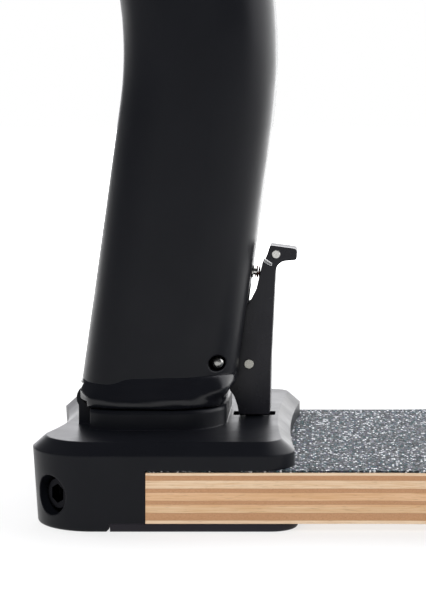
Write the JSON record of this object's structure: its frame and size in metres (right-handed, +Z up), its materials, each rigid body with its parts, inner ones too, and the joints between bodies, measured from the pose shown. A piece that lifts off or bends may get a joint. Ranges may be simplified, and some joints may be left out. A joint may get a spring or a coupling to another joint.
{
  "type": "folding neck joint with foot board",
  "caption": "Plywood foot board in a metal bracket, with a hollow neck that folds forwards on a front hinge and is held by a sprung latch lever.",
  "frame": {"origin": "on the underside of the clamp plate, in the middle of the bracket", "axes": "+X runs back along the board towards its tail, +Y is across the board, +Z is up"},
  "size_m": [0.2993, 0.12, 0.1959],
  "materials": {
    "zinc_steel": "satin",
    "bright_steel": "turned, satin",
    "cross_veneer": "cut across the grain",
    "face_veneer": "sanded, clear lacquer",
    "long_veneer": "cut along the grain",
    "black_plate": "satin powder coat",
    "black_screws": "black oxide",
    "bracket_paint": "satin powder coat",
    "grit": "coarse sparkling grit on a glued sheet",
    "bronze": "sintered",
    "nylon": "natural nylon",
    "block_steel": "dark zinc",
    "lever_paint": "satin black over milled faces",
    "lever_core_paint": "satin black",
    "spring_steel": "oil-tempered wire",
    "foot_paint": "glossy powder coat over weld",
    "sleeve_plastic": "moulded, matt",
    "tube_paint": "satin powder coat",
    "buffer_rubber": "matt"
  },
  "bodies": {
    "base": {"board_face_veneers": "face_veneer", "board_cross_veneers": "cross_veneer", "board_long_veneers": "long_veneer", "grit_sheet": "grit", "deck_bracket": "bracket_paint", "clamp_plate": "black_plate", "clamp_screws": "black_screws", "nose_screws": "black_screws", "barrel_nuts": "zinc_steel", "strike_pin": "bright_steel", "strike_keeper": "zinc_steel", "keeper_screws": "zinc_steel", "seat_buffers": "buffer_rubber", "hinge_pin": "bright_steel", "hinge_washers": "nylon"},
    "neck": {"neck_tube": "tube_paint", "neck_foot": "foot_paint", "weld_bead": "foot_paint", "neck_sleeve": "sleeve_plastic", "latch_block": "block_steel", "block_pin": "bright_steel", "spring_peg": "zinc_steel", "hinge_bush": "bronze", "lever_spring": "spring_steel"},
    "lever": {"lever_cheek_near": "lever_paint", "lever_cheek_far": "lever_paint", "lever_core": "lever_core_paint", "lever_pivot_pin": "bright_steel", "lever_head_pin": "bright_steel"}
  },
  "joints": [
    {"name": "neck_fold", "type": "hinge", "parent": "base", "child": "neck", "pos_m": [-0.038, 0, 0.0343], "axis": [0, -1, 0], "range_deg": [0, 90]},
    {"name": "lever_press", "type": "hinge", "parent": "neck", "child": "lever", "pos_m": [0.0113, 0, 0.0428], "axis": [0, -1, 0], "range_deg": [0, 3.5], "stiffness_Nm_per_rad": 0.5, "springref_deg": -11.46, "deforming": ["lever_spring"]}
  ]
}
